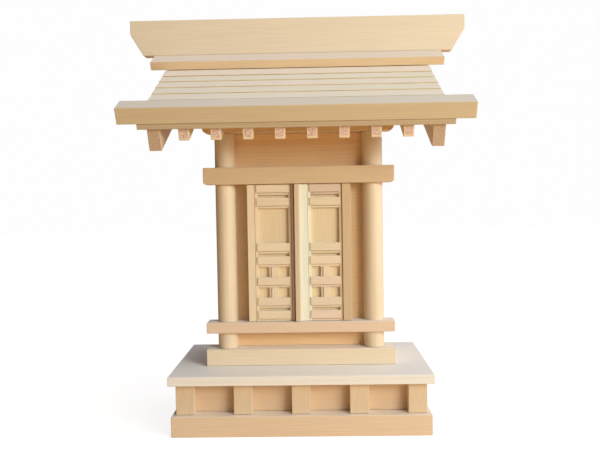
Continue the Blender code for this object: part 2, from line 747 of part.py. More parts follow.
def make_doors():
    left_edge = PAIR_LEFT + LEFT_LEAF_WIDTH
    right_edge = PAIR_RIGHT - RIGHT_LEAF_WIDTH
    left_pivot = PAIR_LEFT + PIVOT_INSET
    right_pivot = PAIR_RIGHT - PIVOT_INSET
    make_leaf("left", PAIR_LEFT, left_edge, LEFT_OUTER_STILE, LEFT_INNER_STILE, left_pivot)
    hinge = make_leaf("right", right_edge, PAIR_RIGHT, RIGHT_INNER_STILE, RIGHT_OUTER_STILE, right_pivot)
    low = (right_edge, LEAF_FRONT - GLUE_GAP - STRIP_THICKNESS, LEAF_LOW)
    high = (right_edge + STRIP_WIDTH, LEAF_FRONT - GLUE_GAP, LEAF_TOP)
    board("door_right_strip", low, high, SAPWOOD, hinge)


def main():
    clear_scene()
    add_empty("shrine", RIDGE_PLACE)
    make_ground_frame()
    make_base_box()
    make_sill()
    make_posts()
    make_walls()
    make_rails()
    make_beams()
    make_rafters()
    make_decks()
    make_fascias()
    make_shingles()
    make_ridge()
    make_doors()


main()
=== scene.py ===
"""A plain cypress household shrine on a pale floor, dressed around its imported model.

Metres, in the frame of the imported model: X along the ridge, -Y to the front, Z up.
"""

import json
import math
import random

import bpy
from mathutils import Euler, Matrix, Vector

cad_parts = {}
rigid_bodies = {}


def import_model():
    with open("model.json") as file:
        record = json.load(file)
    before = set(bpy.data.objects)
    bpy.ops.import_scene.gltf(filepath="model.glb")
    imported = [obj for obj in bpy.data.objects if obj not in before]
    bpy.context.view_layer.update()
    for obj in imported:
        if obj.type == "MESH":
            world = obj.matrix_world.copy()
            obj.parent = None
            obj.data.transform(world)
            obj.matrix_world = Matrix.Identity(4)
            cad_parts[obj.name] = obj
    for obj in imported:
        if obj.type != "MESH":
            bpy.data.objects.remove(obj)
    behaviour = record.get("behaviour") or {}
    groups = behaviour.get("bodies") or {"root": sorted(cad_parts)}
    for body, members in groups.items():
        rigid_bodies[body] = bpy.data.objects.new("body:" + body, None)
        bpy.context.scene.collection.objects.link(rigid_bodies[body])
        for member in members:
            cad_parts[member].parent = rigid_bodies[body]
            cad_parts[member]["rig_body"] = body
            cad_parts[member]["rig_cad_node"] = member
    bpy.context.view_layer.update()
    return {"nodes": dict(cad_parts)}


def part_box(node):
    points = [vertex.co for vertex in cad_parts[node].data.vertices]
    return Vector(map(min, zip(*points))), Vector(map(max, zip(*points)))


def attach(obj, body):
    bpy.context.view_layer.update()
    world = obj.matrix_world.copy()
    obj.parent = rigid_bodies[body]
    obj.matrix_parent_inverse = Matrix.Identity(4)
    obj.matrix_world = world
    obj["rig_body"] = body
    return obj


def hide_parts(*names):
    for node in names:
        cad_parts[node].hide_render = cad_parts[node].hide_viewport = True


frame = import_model()

# The photograph's camera: its place, its turn in radians, and its focal length in a frame 600 wide
CAMERA_PLACE = (0.0165, -0.7657, 0.2484)
CAMERA_YAW = -0.0206
CAMERA_PITCH = -0.0421
CAMERA_ROLL = -0.0164
FOCAL_PIXELS = 699.0
FRAME_WIDTH = 600
SENSOR_WIDTH = 36.0
NEAREST_SEEN = 0.01

# Joinery that shows only close by
SOFT_EDGE = 0.0003
GLUE_GAP = 0.0003
EASED_ANGLE = math.radians(35)

# How close a corner lies to a line or plane to count as on it, and how close corners are merged
NEAR = 0.0003
MERGED = 0.00001

# Door sticks: a face and a lip that lies lower, and how far the cross rails lap the stiles' lips
LIP_DROP = 0.0015
STILE_LIP = 0.0036
RAIL_LAP = 0.0010
LEFT_OUTER_STILE = 0.0074
LEFT_INNER_STILE = 0.0022
RIGHT_INNER_STILE = 0.0138
RIGHT_OUTER_STILE = 0.0092
RAIL_FACE = 0.0087
RAIL_LIP = 0.0026
GROOVE_WIDTH = 0.0007
GROOVE_DEPTH = 0.0012
SLOT_HEIGHT = 0.0031
LATTICE_HEIGHT = 0.0111
MUNTIN_FACE = 0.0073
MUNTIN_LIP = 0.0026
STRIP_CHAMFER = 0.0011
OPENINGS_DOWN_A_LEAF = ("slot", "panel", "slot", "lattice", "lattice", "slot", "none")

# Turned pieces
PIVOT_DIAMETER = 0.003
PIVOT_INSET = 0.004
PIVOT_SIDES = 24
POST_SIDES = 72
POST_EASE = 0.0005

# Roof
ROOF_PITCH = 0.5
DECK_THICKNESS = 0.0058
SHINGLE_STEP = 0.0011
SHINGLE_LAP = 0.004
SHINGLE_UNDERCUT = 0.0013
SHINGLE_WANDER = 0.00022
SHINGLE_CUTS = 23
FIRST_SEED = 3
FRONT_COURSES = 5
BACK_COURSES = 1

SLOPE = math.atan(ROOF_PITCH)
DOWN_FRONT = Vector((0.0, -math.cos(SLOPE), -math.sin(SLOPE)))
DOWN_BACK = Vector((0.0, math.cos(SLOPE), -math.sin(SLOPE)))
OUT_FRONT = Vector((0.0, -math.sin(SLOPE), math.cos(SLOPE)))
OUT_BACK = Vector((0.0, math.sin(SLOPE), math.cos(SLOPE)))

# Wood colours in linear light, as early and late growth
PALE = ((0.86, 0.69, 0.47), (0.72, 0.50, 0.30))
CREAM = ((0.89, 0.75, 0.54), (0.77, 0.59, 0.38))
WHITE = ((0.93, 0.90, 0.82), (0.86, 0.81, 0.71))
HONEY = ((0.80, 0.60, 0.37), (0.67, 0.45, 0.24))
WARM = ((0.93, 0.66, 0.37), (0.78, 0.48, 0.24))
TAN = ((0.80, 0.60, 0.39), (0.66, 0.44, 0.25))
ROOF = ((0.88, 0.75, 0.56), (0.78, 0.63, 0.44))
SHINGLE = ((0.90, 0.755, 0.50), (0.80, 0.63, 0.39))
EAVE = ((0.66, 0.54, 0.35), (0.55, 0.41, 0.235))

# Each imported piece's wood: the start of its name, tones, grain, way to the pith, blush and light
PACKED_WOOD = (
    ("ground_bar_front", PALE, "X", (0, 0.3, 1), 0.2, 0.97),
    ("ground_bar_back", PALE, "X", (0, 0.3, 1), 0.0, 1.0),
    ("ground_bar_", PALE, "Y", (0.4, 0, 1), 0.0, 1.0),
    ("base_strut_", PALE, "leaning", (1, 0.4, 0), 0.0, 0.93),
    ("base_board_front", TAN, "X", (0, 0.3, 1), 0.2, 0.97),
    ("base_board_back", TAN, "X", (0, 0.3, 1), 0.0, 1.0),
    ("base_board_", TAN, "Y", (0.3, 0, 1), 0.0, 1.0),
    # The base top's white tone is partly its own paler wood and partly painted light on its top
    ("base_top_board", WHITE, "X", (0, 1, 0.35), 0.0, 1.0),
    ("sill_bar_front", CREAM, "X", (0, 0.3, 1), 0.0, 1.0),
    ("sill_bar_back", PALE, "X", (0, 0.3, 1), 0.0, 1.0),
    ("sill_bar_", PALE, "Y", (0.4, 0, 1), 0.0, 1.0),
    ("wall_front", WARM, "X", (0, 0.3, 1), 0.0, 1.0),
    ("wall_", WARM, "Z", (1, 0.3, 0), 0.0, 0.95),
    ("floor_board", PALE, "X", (0, 1, 0.3), 0.0, 1.0),
    ("rail_lower", PALE, "X", (0, 0.3, 1), 0.8, 0.98),
    # The upper rail's honey tone is its own; its lower light of 0.89 is painted shade from the roof
    # above it
    ("rail_upper", HONEY, "X", (0, 0.3, 1), 0.0, 0.89),
    ("beam_", WARM, "X", (0, 0.3, 1), 0.0, 0.9),
    ("rafter_front_", PALE, "front_slope", (1, 0.5, 0), 0.0, 1.0),
    ("end_rafter_front_", EAVE, "front_slope", (0.3, 0, 1), 0.8, 1.06),
    ("end_rafter_back_", PALE, "back_slope", (0.3, 0, 1), 0.0, 1.0),
    # The front deck's edge is painted darker, light 0.86, as shade under the eave board
    ("roof_deck_front", EAVE, "X", (0, 0.6, 1), 0.0, 0.86),
    ("eave_board_", EAVE, "X", (0, 0.3, 1), 0.0, 1.0),
    ("ridge_board_", HONEY, "X", (0, 0.3, 1), 0.0, 0.98),
    ("ridge_cap", ROOF, "X", (0, 0.3, 1), 0.0, 0.93),
    ("door_", PALE, "Z", (1, 0.25, 0), -0.5, 0.99),
)

# Tones, blush and light of each leaf's stiles, left one first; the left leaf's inner stile is painted
# darker and browner as the meeting strip's shadow
LEFT_STILES = ((CREAM, 0.0, 1.0), (TAN, 0.6, 0.8))
RIGHT_STILES = ((WHITE, -1.0, 0.99), (HONEY, 0.0, 0.86))

# Blush and light of each leaf's cross rails from the top down, and of the shingles from the eave up
LEFT_RAILS = (
    (0.1, 0.97), (0.1, 0.95), (-0.2, 1.0), (0.0, 1.0), (0.1, 0.97), (0.1, 0.97), (-0.2, 0.99),
)
RIGHT_RAILS = (
    (1.0, 0.82), (-0.4, 0.94), (-0.4, 0.96), (0.2, 1.02), (0.6, 0.96), (0.1, 0.96), (0.8, 0.97),
)
SHINGLE_LOOKS = ((0.2, 1.02), (-0.6, 0.99), (0.3, 1.02), (-0.9, 0.98), (0.5, 1.02))
STRIP_LIGHT = 0.86
POST_LIGHT = 0.96

# The turn that lays a grain frame's Z along the wood's grain
GRAIN_TURN = {
    "X": (0.0, math.pi / 2, 0.0),
    "Y": (-math.pi / 2, 0.0, 0.0),
    "Z": (0.0, 0.0, 0.0),
    "leaning": (0.0, 0.2, 0.0),
    "front_slope": (math.pi / 2 + SLOPE, 0.0, 0.0),
    "back_slope": (-math.pi / 2 - SLOPE, 0.0, 0.0),
}

# Growth rings: their width, how they wander, their streaks, and how late the growth is across a ring
PITH_DISTANCE = (0.07, 0.12)
RING_WIDTH = 0.0016
RING_PROFILE = ((0.62, 0.22), (0.88, 1.0), (0.94, 0.85))
WANDER_SPOTS = (14, 14, 2.2)
WANDER_REACH = (0.004, 0.004, 0.0)
STREAKS_PER_METRE = 170
STREAK_RUN = 0.012
STREAK_PUSH = 1.6
RING_STRENGTH = (0.5, 0.12)

# Spots per metre across and along the grain of the fibres, the slow drift of hue and the pores
FIBRE_SPOTS = (1700, 1700, 22)
DRIFT_SPOTS = (22, 22, 5)
DRIFT_SHIFT = 9
PORE_SPOTS = (1500, 1500, 1500)
RAFTER_PORE_SPOTS = (800, 800, 800)

# How those show: the range of the noise that counts, and the shades that it gives
FIBRE_RANGE = (0.3, 0.7)
FIBRE_SHADES = (0.93, 1.04)
DRIFT_TURN = (0.9, -0.15)
YELLOW_CAST = (1.0, 0.985, 0.95)
PINK_CAST = (0.985, 0.94, 0.93)
CAST_SHARE = 0.8

# Painted light: faces that look up are painted paler and greyer, from so much of their normal upwards,
# for the light and sheen falling on tops from above
TOP_PAINTED_LIGHT = (0.95, 0.90, 0.83)
TOP_PAINTED_LIGHT_SHARE = 0.42
TOP_PAINTED_LIGHT_NORMAL = (0.5, 0.85)

# Sawn ends, where the normal runs along the grain; those of the small rafters are the rougher ones
END_NORMAL = (0.70, 0.92)
END_SHADE = 0.93
END_TINT = (0.97, 0.91, 0.93)
RAFTER_END_TINT = (1.02, 0.97, 1.20)
PORE_RANGE = (0.35, 0.65)
PORE_SHADES = (0.72, 1.08)
RAFTER_PORE_SHADES = (0.62, 1.18)
RAFTER_RIM = 0.0012
RIM_BLEND = 0.0003

# Sheen and relief of planed wood
PLANED_ROUGHNESS = (0.46, 0.60)
END_ROUGHNESS = 0.25
GLOSS = 0.5
SHEEN = 0.45
SHEEN_ROUGHNESS = 0.4
SHEEN_TINT = (0.86, 0.93, 1.0, 1.0)
RING_RELIEF = 0.6
PORE_RELIEF = 2.0
RELIEF_STRENGTH = 0.35
RELIEF_DEPTH = 0.00006

# The room's glows: the way to each, how narrow it is, and its colour
ROOM_GLOWS = (
    ((0.0, 0.75, 0.70), 6.0, (0.08, 0.08, 0.09)),
    ((0.2, -0.1, 1.0), 7.0, (1.02, 1.02, 1.06)),
    ((1.0, -0.3, 0.0), 1.0, (1.19, 1.18, 1.37)),
    ((0.0, 1.0, 0.0), 6.0, (0.72, 0.67, 0.64)),
    ((0.6, -0.8, 0.0), 1.0, (0.06, 0.05, 0.01)),
)
BACKDROP = (0.99, 0.99, 0.99)

# The floor: its paint as the camera sees it and as it lights the shrine, and its glow for the camera
FLOOR_WIDTH = 8.0
FLOOR_SEEN = (0.34, 0.33, 0.305)
FLOOR_BOUNCE = (0.88, 0.58, 0.30)
FLOOR_GLOW = 0.84
FLOOR_ROUGHNESS = 0.9

# The soft window to the right of the front, and the point that it faces
KEY_COLOUR = (0.95, 0.98, 0.88)
KEY_PLACE = (1.05, -1.20, 0.60)
KEY_SIZE = (0.8, 0.5)
KEY_POWER = 15.2
SHRINE_MIDDLE = (0.0, 0.0, 0.25)


# Material nodes

def add_node(tree, kind, **settings):
    node = tree.nodes.new(kind)
    for key, value in settings.items():
        setattr(node, key, value)
    return node


def feed(tree, value, socket):
    """Link a socket to another socket, or set it to a number or a colour."""
    if isinstance(value, (int, float)):
        socket.default_value = value
    elif isinstance(value, (tuple, Vector)):
        socket.default_value = (*value, 1.0) if len(socket.default_value) == 4 else value
    else:
        tree.links.new(value, socket)


def work_out(tree, operation, *values):
    node = add_node(tree, "ShaderNodeMath", operation=operation)
    for value, socket in zip(values, node.inputs):
        feed(tree, value, socket)
    return node.outputs[0]


def work_out_vector(tree, operation, *values):
    node = add_node(tree, "ShaderNodeVectorMath", operation=operation)
    for value, socket in zip(values, node.inputs):
        feed(tree, value, socket)
    return node


def mix_colours(tree, factor, first, second, mode="MIX"):
    node = add_node(tree, "ShaderNodeMix", data_type="RGBA", blend_type=mode)
    feed(tree, factor, node.inputs[0])
    feed(tree, first, node.inputs[6])
    feed(tree, second, node.inputs[7])
    return node.outputs[2]


def multiply_colours(tree, first, second, factor=1.0):
    return mix_colours(tree, factor, first, second, "MULTIPLY")


def spread(tree, value, low, high, to_low, to_high):
    """Map a value's range to another one, and hold it there."""
    node = add_node(tree, "ShaderNodeMapRange")
    for i, entry in enumerate((value, low, high, to_low, to_high)):
        feed(tree, entry, node.inputs[i])
    return node.outputs["Result"]


def drawn_noise(tree, place, spots, detail, shift):
    """Noise whose spots are drawn out along the grain."""
    stretch = add_node(tree, "ShaderNodeMapping")
    stretch.inputs["Scale"].default_value = spots
    stretch.inputs["Location"].default_value = (shift, 0.7 * shift, 1.3 * shift)
    tree.links.new(place, stretch.inputs["Vector"])
    noise = add_node(tree, "ShaderNodeTexNoise")
    noise.inputs["Scale"].default_value = 1.0
    noise.inputs["Detail"].default_value = detail
    tree.links.new(stretch.outputs["Vector"], noise.inputs["Vector"])
    return noise


# Cypress

def tinted(colour, blush, light):
    """Turn a wood colour towards pink, or towards yellow where blush is below 0, and scale it by
    light, which on a few pieces is painted shade.
    """
    red, green, blue = colour
    return (
        min(red * light * (1 + 0.015 * blush), 1.0),
        green * light * (1 - 0.04 * blush),
        blue * light * (1 + 0.05 * blush),
    )


def growth_rings(tree, place, shift):
    """How late the growth is at each point, and broad streaks that follow the rings."""
    wander = drawn_noise(tree, place, WANDER_SPOTS, 1.0, shift).outputs["Color"]
    bent = work_out_vector(tree, "MULTIPLY_ADD", wander, WANDER_REACH, place)
    across = work_out_vector(tree, "MULTIPLY", bent.outputs["Vector"], (1.0, 1.0, 0.0))
    radius = work_out_vector(tree, "LENGTH", across.outputs["Vector"]).outputs["Value"]

    parts = add_node(tree, "ShaderNodeSeparateXYZ")
    tree.links.new(place, parts.inputs["Vector"])
    depth = add_node(tree, "ShaderNodeCombineXYZ")
    tree.links.new(radius, depth.inputs["X"])
    tree.links.new(work_out(tree, "MULTIPLY", parts.outputs["Z"], STREAK_RUN), depth.inputs["Y"])
    depth.inputs["Z"].default_value = shift
    streaks = add_node(tree, "ShaderNodeTexNoise")
    streaks.inputs["Scale"].default_value = STREAKS_PER_METRE
    streaks.inputs["Detail"].default_value = 3.0
    tree.links.new(depth.outputs["Vector"], streaks.inputs["Vector"])

    count = work_out(tree, "MULTIPLY", radius, 1 / RING_WIDTH)
    uneven = work_out(tree, "MULTIPLY_ADD", streaks.outputs["Fac"], STREAK_PUSH, count)
    ring = add_node(tree, "ShaderNodeValToRGB")
    tree.links.new(work_out(tree, "FRACT", uneven), ring.inputs["Fac"])
    ring.color_ramp.elements[0].color = (0.0, 0.0, 0.0, 1.0)
    ring.color_ramp.elements[1].color = (0.0, 0.0, 0.0, 1.0)
    for position, level in RING_PROFILE:
        ring.color_ramp.elements.new(position).color = (level, level, level, 1.0)
    return ring.outputs["Color"], streaks.outputs["Fac"]


def planed_colour(tree, normal, rings, fibres, drift, early, late):
    """The colour of a face along the grain, with painted light making it paler where it looks up."""
    face = mix_colours(tree, rings, early, late)
    turn = work_out(tree, "MULTIPLY_ADD", drift, *DRIFT_TURN)
    cast = mix_colours(tree, turn, YELLOW_CAST, PINK_CAST)
    face = multiply_colours(tree, face, cast, CAST_SHARE)
    face = multiply_colours(tree, face, spread(tree, fibres, *FIBRE_RANGE, *FIBRE_SHADES))
    upward = add_node(tree, "ShaderNodeSeparateXYZ")
    tree.links.new(normal, upward.inputs["Vector"])
    # Painted light from above: the up-facing share of the normal pales the colour
    painted_top_light = spread(tree, upward.outputs["Z"], *TOP_PAINTED_LIGHT_NORMAL, 0.0, TOP_PAINTED_LIGHT_SHARE)
    return mix_colours(tree, painted_top_light, face, TOP_PAINTED_LIGHT)


def rafter_rim(tree, place, middle, reach):
    """How far towards the edge of a small rafter's sawn end, up to 1 in the planed rim."""
    away = work_out_vector(tree, "SUBTRACT", place, middle).outputs["Vector"]
    edges = []
    for axis, half in (((1.0, 0.0, 0.0), reach[0]), (tuple(OUT_FRONT), reach[1])):
        along = work_out_vector(tree, "DOT_PRODUCT", away, axis).outputs["Value"]
        distance = work_out(tree, "ABSOLUTE", along)
        inside = half - RAFTER_RIM
        edges.append(spread(tree, distance, inside - RIM_BLEND, inside, 0.0, 1.0))
    return work_out(tree, "MAXIMUM", *edges)


def sawn_colour(tree, place, ring, pores, early, late, middle, reach):
    """The colour of a sawn end, where a small rafter has specks inside a planed rim."""
    sawn = mix_colours(tree, ring, tuple(END_SHADE * part for part in early), late)
    sawn = multiply_colours(tree, sawn, RAFTER_END_TINT if reach else END_TINT)
    shades = RAFTER_PORE_SHADES if reach else PORE_SHADES
    sawn = multiply_colours(tree, sawn, spread(tree, pores, *PORE_RANGE, *shades))
    if reach:
        sawn = mix_colours(tree, rafter_rim(tree, place, middle, reach), sawn, early)
    return sawn


def cypress(name, tones, grain, middle, heart, blush=0.0, light=1.0, reach=None):
    """Planed, unfinished cypress, sawn from a log whose pith lies some way off towards heart.

    A small rafter gives its reach, half its width and half its depth, for the rim of its end.
    """
    chance = random.Random(name)
    shift = chance.uniform(0, 40)
    material = bpy.data.materials.new("cypress_" + name)
    material.use_nodes = True
    tree = material.node_tree
    shader = tree.nodes["Principled BSDF"]
    early = tinted(tones[0], blush, light)
    late = tinted(tones[1], blush, light)

    coordinates = add_node(tree, "ShaderNodeTexCoord")
    normal = coordinates.outputs["Normal"]
    log = add_node(tree, "ShaderNodeMapping", vector_type="TEXTURE")
    pith = Vector(middle) + Vector(heart).normalized() * chance.uniform(*PITH_DISTANCE)
    log.inputs["Location"].default_value = pith
    log.inputs["Rotation"].default_value = GRAIN_TURN[grain]
    tree.links.new(coordinates.outputs["Object"], log.inputs["Vector"])
    place = log.outputs["Vector"]
    ring, streaks = growth_rings(tree, place, shift)
    rings = work_out(tree, "MULTIPLY", ring, work_out(tree, "MULTIPLY_ADD", streaks, *RING_STRENGTH))
    fibres = drawn_noise(tree, place, FIBRE_SPOTS, 3.0, shift).outputs["Fac"]
    drift = drawn_noise(tree, place, DRIFT_SPOTS, 2.0, shift + DRIFT_SHIFT).outputs["Fac"]
    spots = RAFTER_PORE_SPOTS if reach else PORE_SPOTS
    pores = drawn_noise(tree, place, spots, 2.0, shift).outputs["Fac"]

    along = Euler(GRAIN_TURN[grain]).to_matrix() @ Vector((0.0, 0.0, 1.0))
    facing = work_out_vector(tree, "DOT_PRODUCT", normal, along).outputs["Value"]
    end = spread(tree, work_out(tree, "ABSOLUTE", facing), *END_NORMAL, 0.0, 1.0)
    face = planed_colour(tree, normal, rings, fibres, drift, early, late)
    own_place = coordinates.outputs["Object"]
    sawn = sawn_colour(tree, own_place, ring, pores, early, late, middle, reach)
    tree.links.new(mix_colours(tree, end, face, sawn), shader.inputs["Base Color"])

    rough = spread(tree, fibres, *FIBRE_RANGE, *PLANED_ROUGHNESS)
    rough = work_out(tree, "MULTIPLY_ADD", end, END_ROUGHNESS, rough)
    tree.links.new(rough, shader.inputs["Roughness"])
    shader.inputs["Specular IOR Level"].default_value = GLOSS
    shader.inputs["Sheen Weight"].default_value = SHEEN
    shader.inputs["Sheen Roughness"].default_value = SHEEN_ROUGHNESS
    shader.inputs["Sheen Tint"].default_value = SHEEN_TINT

    relief = work_out(tree, "MULTIPLY_ADD", rings, RING_RELIEF, fibres)
    pits = work_out(tree, "MULTIPLY", pores, end)
    relief = work_out(tree, "MULTIPLY_ADD", pits, PORE_RELIEF, relief)
    bump = add_node(tree, "ShaderNodeBump")
    bump.inputs["Strength"].default_value = RELIEF_STRENGTH
    bump.inputs["Distance"].default_value = RELIEF_DEPTH
    tree.links.new(relief, bump.inputs["Height"])
    tree.links.new(bump.outputs["Normal"], shader.inputs["Normal"])
    return material


# Bench work: small helpers for modelling as by hand

def pick_no_object():
    bpy.ops.object.select_all(action="DESELECT")


def take(piece):
    """Make one object the active and only picked one."""
    pick_no_object()
    piece.select_set(True)
    bpy.context.view_layer.objects.active = piece


def settle(piece):
    """Put an object's place, turn and size into its mesh."""
    take(piece)
    bpy.ops.object.transform_apply(location=True, rotation=True, scale=True)


def cut_block(name, low, high):
    """A block of wood between two corners, ready to be shaped."""
    pick_no_object()
    low = Vector(low)
    high = Vector(high)
    bpy.ops.mesh.primitive_cube_add(size=1.0, location=(low + high) / 2, scale=high - low)
    block = bpy.context.object
    block.name = name
    settle(block)
    return block


def turn_rod(name, place, radius, height, sides):
    """An upright round rod about a point."""
    pick_no_object()
    bpy.ops.mesh.primitive_cylinder_add(vertices=sides, radius=radius, depth=height, location=place)
    rod = bpy.context.object
    rod.name = name
    settle(rod)
    return rod


def start_shaping(piece):
    take(piece)
    bpy.ops.object.mode_set(mode="EDIT")


def stop_shaping():
    bpy.ops.object.mode_set(mode="OBJECT")


def pick_all():
    bpy.ops.mesh.select_all(action="SELECT")


def pick(piece, kind, wanted):
    """In edit mode, pick the faces, edges or corners that satisfy a test."""
    bpy.ops.mesh.select_mode(type=kind)
    bpy.ops.mesh.select_all(action="DESELECT")
    bpy.ops.object.mode_set(mode="OBJECT")
    mesh = piece.data
    parts = {"FACE": mesh.polygons, "EDGE": mesh.edges, "VERT": mesh.vertices}
    for part in parts[kind]:
        part.select = wanted(part)
    bpy.ops.object.mode_set(mode="EDIT")


def looks_ahead(face):
    """Whether a face looks to the front of the shrine."""
    return face.normal.y < -0.9


def score(point, normal, **options):
    """Cut the whole piece along a plane."""
    pick_all()
    bpy.ops.mesh.bisect(plane_co=point, plane_no=normal, **options)


def pull(distance):
    """Pull the picked faces out to the front, or press them in where the distance is below 0."""
    bpy.ops.mesh.extrude_region_move(TRANSFORM_OT_translate={"value": (0, -distance, 0)})


def ease(piece, width=SOFT_EDGE, segments=2, turned=False):
    """Take the sharp edges off with a small rounding; only turned pieces are shaded smooth."""
    take(piece)
    rounding = piece.modifiers.new("ease", "BEVEL")
    rounding.width = width
    rounding.segments = segments
    rounding.limit_method = "ANGLE"
    rounding.angle_limit = EASED_ANGLE
    bpy.ops.object.modifier_apply(modifier=rounding.name)
    if turned:
        bpy.ops.object.shade_smooth_by_angle(angle=EASED_ANGLE)


def copy_to(piece, name, offset):
    """Another piece of the same shape, moved by an offset and with its own mesh."""
    take(piece)
    bpy.ops.object.duplicate(linked=False)
    twin = bpy.context.object
    twin.name = name
    bpy.ops.transform.translate(value=offset)
    settle(twin)
    return twin


def copy_node(node, name):
    """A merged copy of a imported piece's mesh, to cut a piece from."""
    take(frame["nodes"][node])
    bpy.ops.object.duplicate(linked=False)
    twin = bpy.context.object
    twin.name = name
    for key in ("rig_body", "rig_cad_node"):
        if key in twin:
            del twin[key]
    twin.parent = None
    start_shaping(twin)
    pick_all()
    bpy.ops.mesh.remove_doubles(threshold=MERGED)
    stop_shaping()
    return twin


def middle_of(piece):
    corners = [Vector(corner) for corner in piece.bound_box]
    return sum(corners, Vector()) / len(corners)


def wear(piece, tones, grain, heart, body="cabinet", blush=0.0, light=1.0):
    """Give a new piece its wood in its one material slot, and the body that it rides on."""
    wood = cypress(piece.name, tones, grain, middle_of(piece), heart, blush, light)
    piece.data.materials.clear()
    piece.data.materials.append(wood)
    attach(piece, body)


# Doors

def sink_groove(piece, inside):
    """Press a scored strip of the front back into a narrow groove."""
    pick(piece, "FACE", lambda face: looks_ahead(face) and inside(face.center))
    pull(-GROOVE_DEPTH)


def shape_stile(name, low, high, lip_side):
    """An upright with its lip on one side: -1 for the left, 1 for the right."""
    block = cut_block(name, (low[0], low[1] + LIP_DROP, low[2]), high)
    edge = high[0] - STILE_LIP if lip_side > 0 else low[0] + STILE_LIP
    start_shaping(block)
    score((edge, 0, 0), (1, 0, 0))
    score((edge + lip_side * GROOVE_WIDTH, 0, 0), (1, 0, 0))
    pick(block, "FACE", lambda face: looks_ahead(face) and (edge - face.center.x) * lip_side > 0)
    pull(LIP_DROP)
    sink_groove(block, lambda middle: 0 < (middle.x - edge) * lip_side < GROOVE_WIDTH)
    stop_shaping()
    ease(block)
    return block


def shape_cross_rail(name, left, right, top, front, back):
    """A cross rail, lapped over the stiles' lips at both ends, with its own lip below."""
    foot = top - RAIL_FACE
    block = cut_block(name, (left, front + LIP_DROP, foot - RAIL_LIP), (right, back, top))
    start_shaping(block)
    score((0, 0, foot), (0, 0, 1))
    score((0, 0, foot - GROOVE_WIDTH), (0, 0, 1))
    sink_groove(block, lambda middle: -GROOVE_WIDTH < middle.z - foot < 0)
    pick(block, "FACE", lambda face: looks_ahead(face) and face.center.z > foot)
    pull(0)
    stretch = (right - left + 2 * RAIL_LAP) / (right - left)
    bpy.ops.transform.resize(value=(stretch, 1, 1))
    pull(LIP_DROP)
    stop_shaping()
    ease(block)
    return block


def shape_muntin(name, left, low, top, front, back):
    """A short upright in the lattice, with its lip on the left."""
    edge = left + MUNTIN_LIP
    block = cut_block(name, (left, front + LIP_DROP, low), (edge + MUNTIN_FACE, back, top))
    start_shaping(block)
    score((edge, 0, 0), (1, 0, 0))
    pick(block, "FACE", lambda face: looks_ahead(face) and face.center.x > edge)
    pull(LIP_DROP)
    stop_shaping()
    ease(block, SOFT_EDGE / 2, 1)
    return block


def rail_tops(top, height):
    """Top edges of a leaf's seven cross rails and, below each, the kind of opening."""
    rail = RAIL_FACE + RAIL_LIP
    opening = {"slot": SLOT_HEIGHT, "lattice": LATTICE_HEIGHT, "none": 0.0}
    used = len(OPENINGS_DOWN_A_LEAF) * rail
    used += sum(opening[kind] for kind in OPENINGS_DOWN_A_LEAF if kind != "panel")
    opening["panel"] = height - used
    rows = []
    for kind in OPENINGS_DOWN_A_LEAF:
        rows.append((top, kind))
        top -= rail + opening[kind]
    return rows


def make_leaf(side, left_stile, right_stile, hinge_side, stile_looks, rail_looks):
    """One door leaf's sticks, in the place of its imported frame."""
    start = "door_%s_" % side
    body = side + "_door"
    frame_low, frame_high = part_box(start + "frame")
    front, back = frame_low.y, frame_high.y
    low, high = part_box(start + "board")
    face_left = low.x + left_stile
    face_right = high.x - right_stile
    inner_left = face_left + STILE_LIP
    inner_right = face_right - STILE_LIP

    left_edge = shape_stile(start + "stile_left", (low.x, front, low.z), (inner_left, back, high.z), 1)
    right_edge = shape_stile(
        start + "stile_right", (inner_right, front, low.z), (high.x, back, high.z), -1
    )
    hearts = ((1, 0.4, 0), (1, -0.3, 0))
    for stile, heart, (tones, blush, light) in zip((left_edge, right_edge), hearts, stile_looks):
        wear(stile, tones, "Z", heart, body, blush, light)
    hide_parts(start + "frame")

    rows = rail_tops(high.z, high.z - low.z)
    first = shape_cross_rail(start + "rail_1", inner_left, inner_right, high.z, front, back)
    rails = [first]
    for number, (top, kind) in enumerate(rows[1:], 2):
        rails.append(copy_to(first, start + "rail_%d" % number, (0, 0, top - high.z)))
    for rail, (blush, light) in zip(rails, rail_looks):
        wear(rail, CREAM, "X", (0, 0.5, 1), body, blush, light)

    bar_left = (face_left + face_right) / 2 - (MUNTIN_FACE + MUNTIN_LIP) / 2
    lattice_tops = [top - RAIL_FACE - RAIL_LIP for top, kind in rows if kind == "lattice"]
    for number, top in enumerate(lattice_tops, 1):
        name = start + "muntin_%d" % number
        bar = shape_muntin(name, bar_left, top - LATTICE_HEIGHT, top, front, back)
        wear(bar, CREAM, "Z", (1, 0.5, 0), body)

    pin_x = low.x + PIVOT_INSET if hinge_side < 0 else high.x - PIVOT_INSET
    for label, tip, edge in (("upper", frame_high.z, high.z), ("lower", frame_low.z, low.z)):
        place = (pin_x, (front + back) / 2, edge)
        height = 2 * abs(tip - edge)
        pin = turn_rod(start + "pin_" + label, place, PIVOT_DIAMETER / 2, height, PIVOT_SIDES)
        ease(pin, turned=True)
        wear(pin, PALE, "Z", (1, 0, 0), body)


def make_strip():
    """The meeting strip, with a wider chamfer along its right edge."""
    low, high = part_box("door_right_strip")
    strip = cut_block("door_right_meeting_strip", low, high)

    def at_front_right(edge):
        ends = [strip.data.vertices[i].co for i in edge.vertices]
        return all(end.x > high.x - NEAR and end.y < low.y + NEAR for end in ends)

    start_shaping(strip)
    pick(strip, "EDGE", at_front_right)
    bpy.ops.mesh.bevel(offset=STRIP_CHAMFER, segments=1)
    stop_shaping()
    ease(strip)
    wear(strip, PALE, "Z", (1, 0.5, 0), "right_door", 0.0, STRIP_LIGHT)
    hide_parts("door_right_strip")


# Posts

